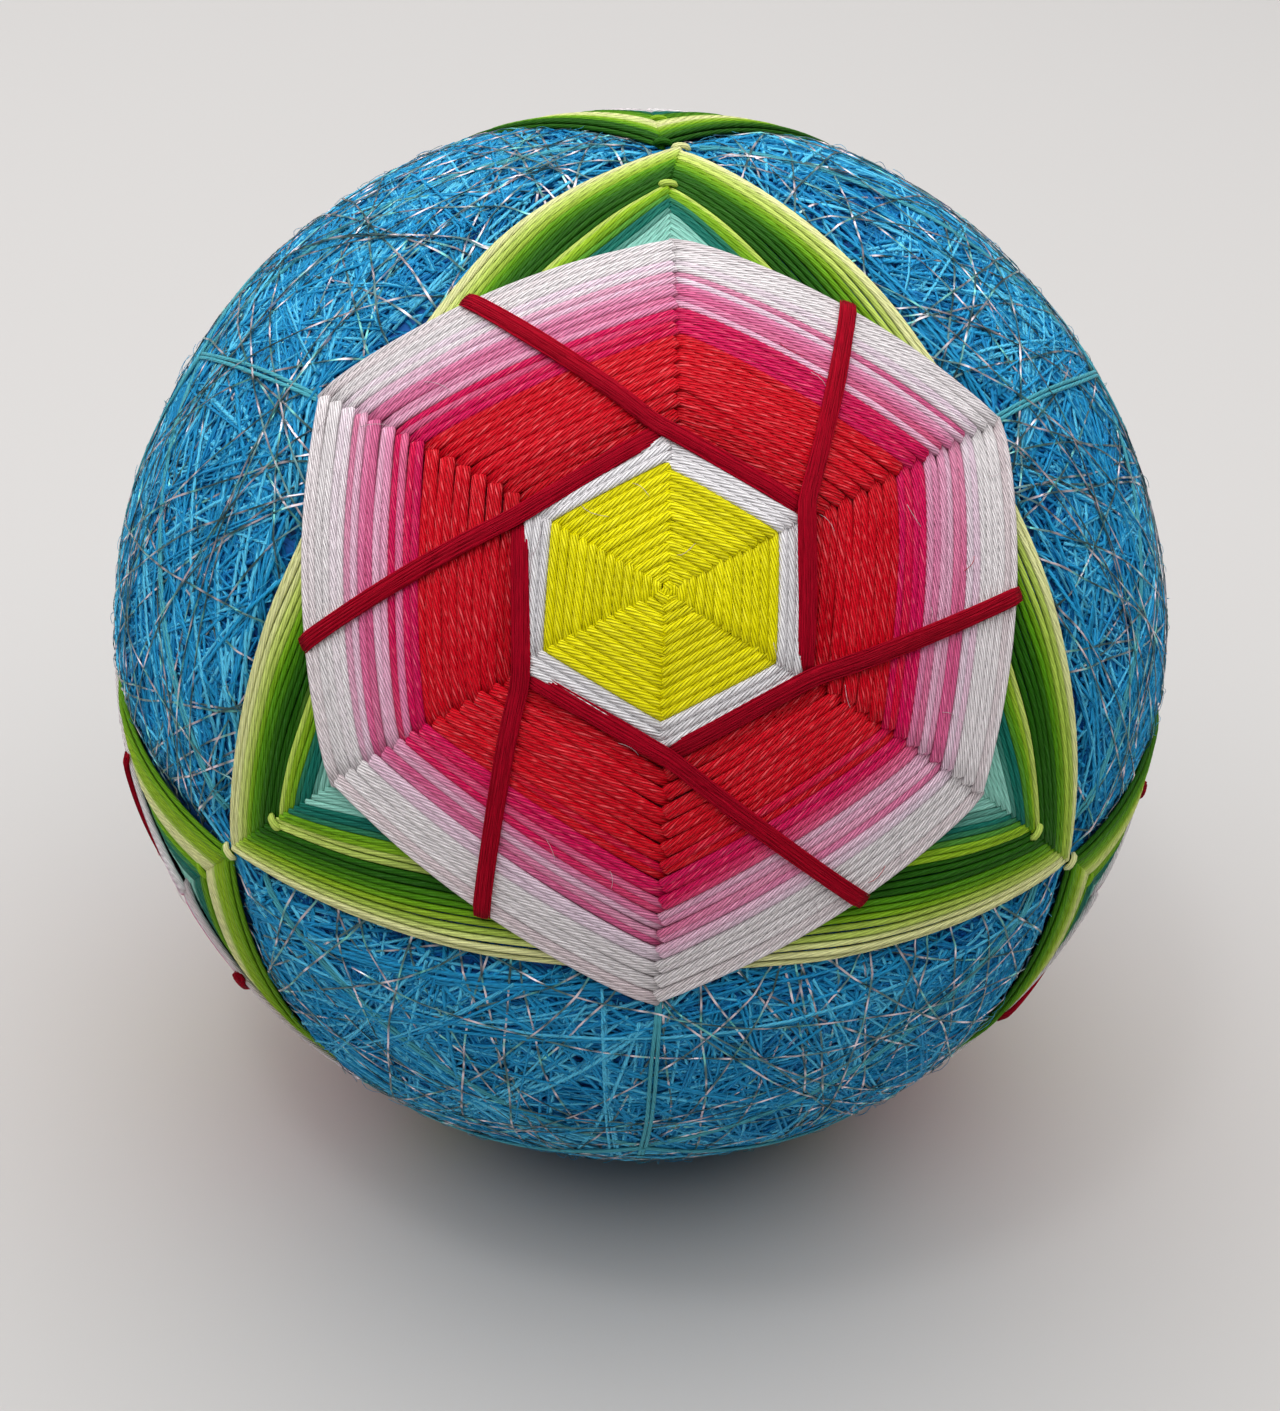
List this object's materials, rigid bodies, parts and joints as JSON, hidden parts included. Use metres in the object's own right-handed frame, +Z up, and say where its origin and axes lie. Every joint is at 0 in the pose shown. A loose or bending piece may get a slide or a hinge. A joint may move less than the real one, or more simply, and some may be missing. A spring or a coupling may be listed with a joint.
{
  "type": "temari ball",
  "caption": "Round ball wound with blue thread and stitched with red to white six-sided flowers on green three-cornered leaf frames.",
  "frame": {"origin": "on the surface that the ball rests on, straight below its centre", "axes": "+Z up through two meeting leaf tips; -Y faces the side with the pictured flower, whose axis rises about 35 degrees above level"},
  "size_m": [0.096, 0.096, 0.0954],
  "materials": {
    "blue_winding": "fine matt sewing thread in random turns, with a sparse metallic filament over it",
    "green_thread": "stranded cotton in shaded greens, soft sheen",
    "pink_thread": "twisted cotton shaded from red through pinks to white, silky sheen",
    "white_thread": "twisted white cotton, silky sheen",
    "yellow_thread": "twisted yellow cotton, silky sheen",
    "crimson_thread": "dense dark red cotton, matt",
    "turquoise_thread": "fine turquoise thread, laid double"
  },
  "bodies": {
    "root": {"wound_ball": "blue_winding", "lines_front": "turquoise_thread", "lines_back": "turquoise_thread", "lines_left": "turquoise_thread", "lines_right": "turquoise_thread", "leaf_front": "green_thread", "leaf_back": "green_thread", "leaf_left": "green_thread", "leaf_right": "green_thread", "petals_front": "pink_thread", "petals_back": "pink_thread", "petals_left": "pink_thread", "petals_right": "pink_thread", "ring_front": "white_thread", "ring_back": "white_thread", "ring_left": "white_thread", "ring_right": "white_thread", "middle_front": "yellow_thread", "middle_back": "yellow_thread", "middle_left": "yellow_thread", "middle_right": "yellow_thread", "pinwheel_front": "crimson_thread", "pinwheel_back": "crimson_thread", "pinwheel_left": "crimson_thread", "pinwheel_right": "crimson_thread"}
  },
  "joints": []
}
